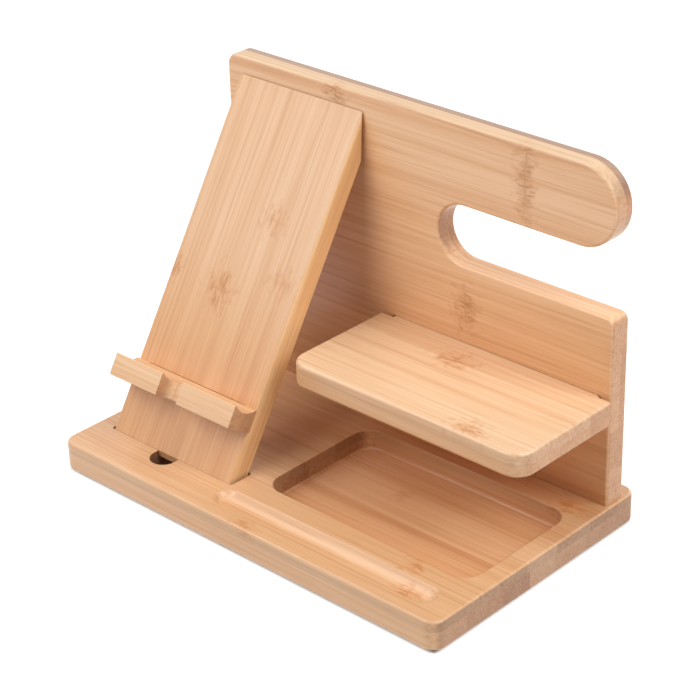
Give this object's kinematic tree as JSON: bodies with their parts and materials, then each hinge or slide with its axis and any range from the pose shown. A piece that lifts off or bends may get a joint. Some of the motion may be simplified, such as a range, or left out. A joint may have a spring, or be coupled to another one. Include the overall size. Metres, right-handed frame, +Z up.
{
  "type": "charging station organizer",
  "caption": "Bamboo desk stand for charging a phone: base with a tray and a pen groove, leaning phone rest with a notched ledge, upright panel with a hook arm, and a shelf.",
  "frame": {"origin": "middle of the base's outline, on the surface that the pads stand on", "axes": "+X along the length, to the right as seen from the front; +Y to the back; +Z up"},
  "size_m": [0.24, 0.144, 0.1818],
  "materials": {
    "bamboo": "satin clear lacquer on laminated bamboo",
    "rubber": "matt"
  },
  "bodies": {
    "base": {"base_board": "bamboo", "pad_front_left": "rubber", "pad_back_left": "rubber", "pad_front_right": "rubber", "pad_back_right": "rubber"},
    "back_panel": {"back_panel": "bamboo"},
    "shelf": {"shelf": "bamboo"},
    "phone_rest": {"phone_rest": "bamboo", "phone_ledge": "bamboo"}
  },
  "joints": [
    {"name": "panel_lift", "type": "slide", "parent": "base", "child": "back_panel", "axis": [0, 0, 1], "range_m": [0, 0.03]},
    {"name": "rest_lift", "type": "slide", "parent": "base", "child": "phone_rest", "axis": [0, 0, 1], "range_m": [0, 0.03]},
    {"name": "shelf_pull", "type": "slide", "parent": "back_panel", "child": "shelf", "axis": [0, -1, 0], "range_m": [0, 0.025]}
  ]
}
